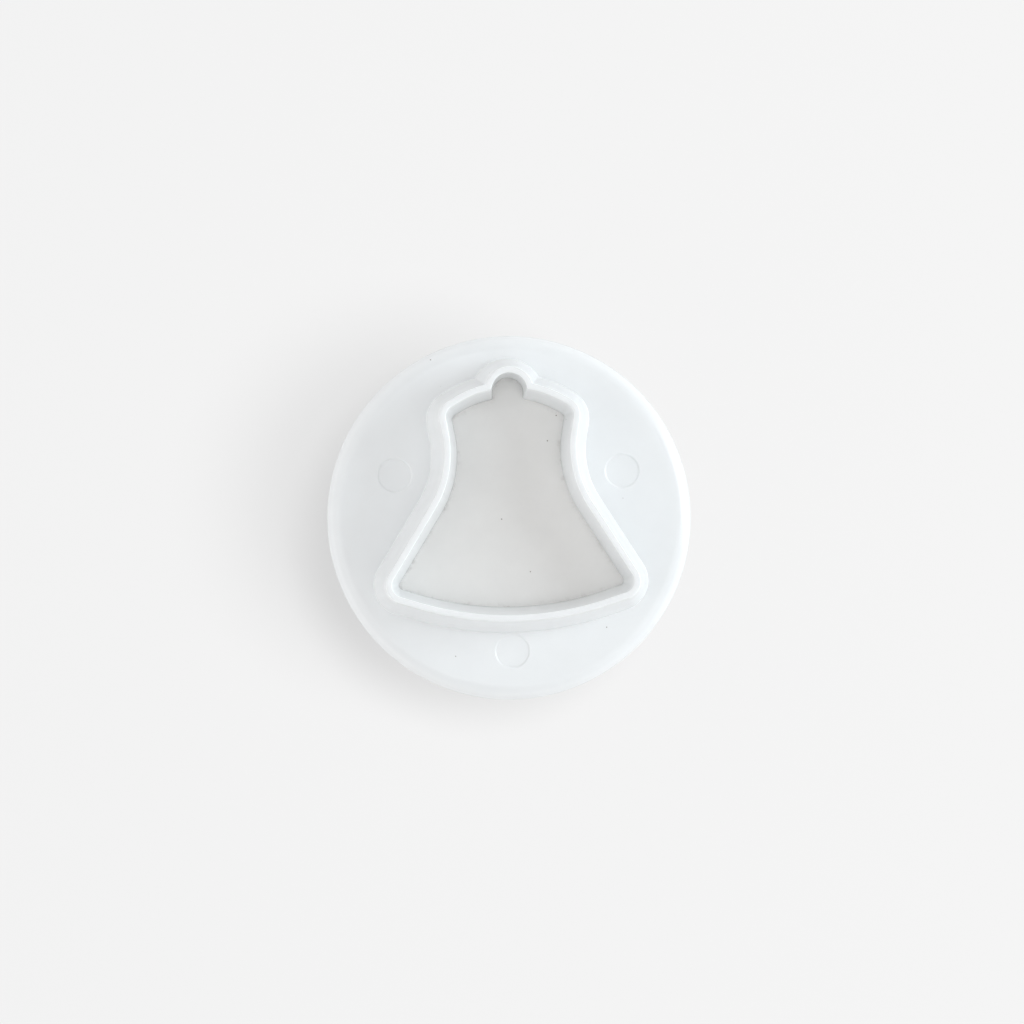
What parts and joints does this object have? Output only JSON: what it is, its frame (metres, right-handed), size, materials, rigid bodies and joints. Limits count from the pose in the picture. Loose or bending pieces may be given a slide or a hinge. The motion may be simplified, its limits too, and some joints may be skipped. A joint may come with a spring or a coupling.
{
  "type": "plunger cutter",
  "caption": "Sprung plunger cutter with a bell-shaped blade on a round flange, an ejector plate inside the blade and a push knob behind.",
  "frame": {"origin": "centre of the knob's resting face, on the plunger's axis, with the cutter standing blade up", "axes": "+Z along the plunger from the knob to the cutting rim, +Y from the bell's mouth to its crown, +X to the right when looking at the blade"},
  "size_m": [0.05, 0.05, 0.036],
  "materials": {
    "body_plastic": "semi-gloss injection-moulded white polypropylene",
    "plate_plastic": "satin injection-moulded white polypropylene",
    "knob_plastic": "semi-gloss injection-moulded white polypropylene",
    "cap_plastic": "satin injection-moulded white polypropylene",
    "spring_steel": "drawn stainless spring wire",
    "plated_steel": "bright zinc plate"
  },
  "bodies": {
    "cutter": {"cutter_body": "body_plastic", "return_spring": "spring_steel"},
    "plunger": {"ejector_plate": "plate_plastic", "push_knob": "knob_plastic", "knob_screw": "plated_steel", "screw_washer": "plated_steel", "knob_cap": "cap_plastic"}
  },
  "joints": [
    {"name": "plunger_press", "type": "slide", "parent": "cutter", "child": "plunger", "axis": [0, 0, 1], "range_m": [0, 0.0072], "stiffness_N_per_m": 400, "springref_m": -0.006, "deforming": ["return_spring"]}
  ]
}
